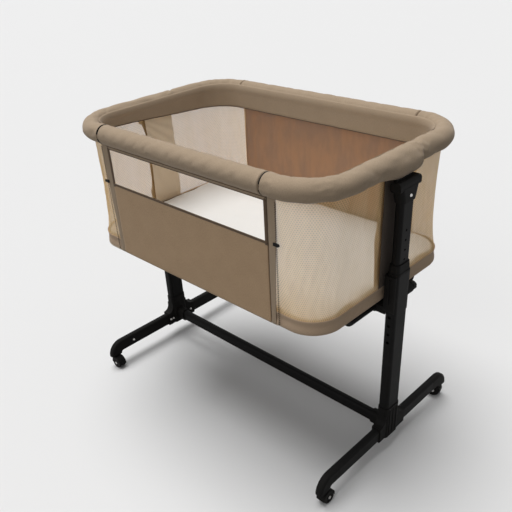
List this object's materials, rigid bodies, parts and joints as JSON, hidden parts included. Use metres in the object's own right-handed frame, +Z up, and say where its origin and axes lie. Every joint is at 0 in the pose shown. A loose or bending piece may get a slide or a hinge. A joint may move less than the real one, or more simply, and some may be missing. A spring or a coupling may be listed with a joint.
{
  "type": "bedside sleeper crib",
  "caption": "Height-adjustable bedside sleeper crib: padded rail, sheer fabric cot with a drop front, on a black wheeled stand of telescoping posts.",
  "frame": {"origin": "on the floor, under the middle of the cot", "axes": "+X along the cot, -Y towards the bed side with the drop front, +Z up"},
  "size_m": [0.9332, 0.604, 0.852],
  "materials": {
    "tube_black": "satin black powder coat",
    "moulding_black": "fine-textured black moulding",
    "knob_black": "semi-gloss black",
    "wheel_black": "dark grey-black wheels",
    "bright_steel": "zinc-plated steel",
    "inner_tube": "painted steel tube, hidden in fabric",
    "rail_fabric": "heathered beige weave",
    "panel_fabric": "heathered taupe weave",
    "mesh_fabric": "sheer tan mesh",
    "mattress_cover": "white knit cover",
    "board": "thin fibreboard"
  },
  "bodies": {
    "stand": {"stretcher_tube": "tube_black", "post_collars": "moulding_black", "leg_screws": "bright_steel", "hub_left": "moulding_black", "lower_post_left": "tube_black", "front_foot_tube_left": "tube_black", "rear_foot_tube_left": "tube_black", "front_foot_end_left": "moulding_black", "rear_foot_end_left": "moulding_black", "hub_right": "moulding_black", "lower_post_right": "tube_black", "front_foot_tube_right": "tube_black", "rear_foot_tube_right": "tube_black", "front_foot_end_right": "moulding_black", "rear_foot_end_right": "moulding_black"},
    "cot": {"cot_screws": "bright_steel", "rail_tube": "inner_tube", "rail_pad_back": "rail_fabric", "rail_sockets": "moulding_black", "base_ring_tube": "inner_tube", "base_skirt": "panel_fabric", "floor_board": "board", "mattress": "mattress_cover", "back_wall": "mesh_fabric", "end_stiles": "panel_fabric", "front_stiles": "panel_fabric", "upper_post_left": "tube_black", "top_bracket_left": "moulding_black", "slider_left": "moulding_black", "support_bar_left": "tube_black", "rail_pad_left": "rail_fabric", "end_wall_left": "mesh_fabric", "lock_spring_left": "bright_steel", "upper_post_right": "tube_black", "top_bracket_right": "moulding_black", "slider_right": "moulding_black", "support_bar_right": "tube_black", "rail_pad_right": "rail_fabric", "end_wall_right": "mesh_fabric", "lock_spring_right": "bright_steel"},
    "gate": {"gate_rail_tube": "inner_tube", "gate_catches": "moulding_black", "gate_rail_pad": "rail_fabric", "gate_panel": "panel_fabric"},
    "lock_left": {"lock_knob_left": "knob_black"},
    "zip_left": {"zip_pull_left": "knob_black"},
    "lock_right": {"lock_knob_right": "knob_black"},
    "zip_right": {"zip_pull_right": "knob_black"},
    "caster_front_left": {"caster_housing_front_left": "moulding_black", "caster_axle_front_left": "bright_steel"},
    "wheels_front_left": {"caster_wheels_front_left": "wheel_black"},
    "caster_front_right": {"caster_housing_front_right": "moulding_black", "caster_axle_front_right": "bright_steel"},
    "wheels_front_right": {"caster_wheels_front_right": "wheel_black"},
    "caster_rear_left": {"caster_housing_rear_left": "moulding_black", "caster_axle_rear_left": "bright_steel"},
    "wheels_rear_left": {"caster_wheels_rear_left": "wheel_black"},
    "caster_rear_right": {"caster_housing_rear_right": "moulding_black", "caster_axle_rear_right": "bright_steel"},
    "wheels_rear_right": {"caster_wheels_rear_right": "wheel_black"}
  },
  "joints": [
    {"name": "height_slide", "type": "slide", "parent": "stand", "child": "cot", "axis": [0, 0, 1], "range_m": [-0.125, 0]},
    {"name": "gate_hinge", "type": "hinge", "parent": "cot", "child": "gate", "pos_m": [0, -0.27205, 0.482], "axis": [1, 0, 0], "range_deg": [0, 160]},
    {"name": "lock_pull_left", "type": "slide", "parent": "cot", "child": "lock_left", "axis": [0, 1, 0], "range_m": [0, 0.008], "stiffness_N_per_m": 600, "springref_m": -0.006, "deforming": ["lock_spring_left"]},
    {"name": "lock_pull_right", "type": "slide", "parent": "cot", "child": "lock_right", "axis": [0, 1, 0], "range_m": [0, 0.008], "stiffness_N_per_m": 600, "springref_m": -0.006, "deforming": ["lock_spring_right"]},
    {"name": "zip_run_left", "type": "slide", "parent": "cot", "child": "zip_left", "axis": [0, 0, 1], "range_m": [-0.2, 0.1]},
    {"name": "zip_run_right", "type": "slide", "parent": "cot", "child": "zip_right", "axis": [0, 0, 1], "range_m": [-0.2, 0.1]},
    {"name": "swivel_front_left", "type": "hinge", "parent": "stand", "child": "caster_front_left", "pos_m": [-0.448, -0.281, 0.05], "axis": [0, 0, 1], "continuous": true},
    {"name": "roll_front_left", "type": "hinge", "parent": "caster_front_left", "child": "wheels_front_left", "pos_m": [-0.436, -0.281, 0.019], "axis": [0, 1, 0], "continuous": true},
    {"name": "swivel_front_right", "type": "hinge", "parent": "stand", "child": "caster_front_right", "pos_m": [0.448, -0.281, 0.05], "axis": [0, 0, 1], "continuous": true},
    {"name": "roll_front_right", "type": "hinge", "parent": "caster_front_right", "child": "wheels_front_right", "pos_m": [0.448, -0.269, 0.019], "axis": [-1, 0, 0], "continuous": true},
    {"name": "swivel_rear_left", "type": "hinge", "parent": "stand", "child": "caster_rear_left", "pos_m": [-0.448, 0.281, 0.05], "axis": [0, 0, 1], "continuous": true},
    {"name": "roll_rear_left", "type": "hinge", "parent": "caster_rear_left", "child": "wheels_rear_left", "pos_m": [-0.43817, 0.27412, 0.019], "axis": [0.5736, 0.8192, 0], "continuous": true},
    {"name": "swivel_rear_right", "type": "hinge", "parent": "stand", "child": "caster_rear_right", "pos_m": [0.448, 0.281, 0.05], "axis": [0, 0, 1], "continuous": true},
    {"name": "roll_rear_right", "type": "hinge", "parent": "caster_rear_right", "child": "wheels_rear_right", "pos_m": [0.43641, 0.27789, 0.019], "axis": [0.2588, -0.9659, 0], "continuous": true}
  ]
}
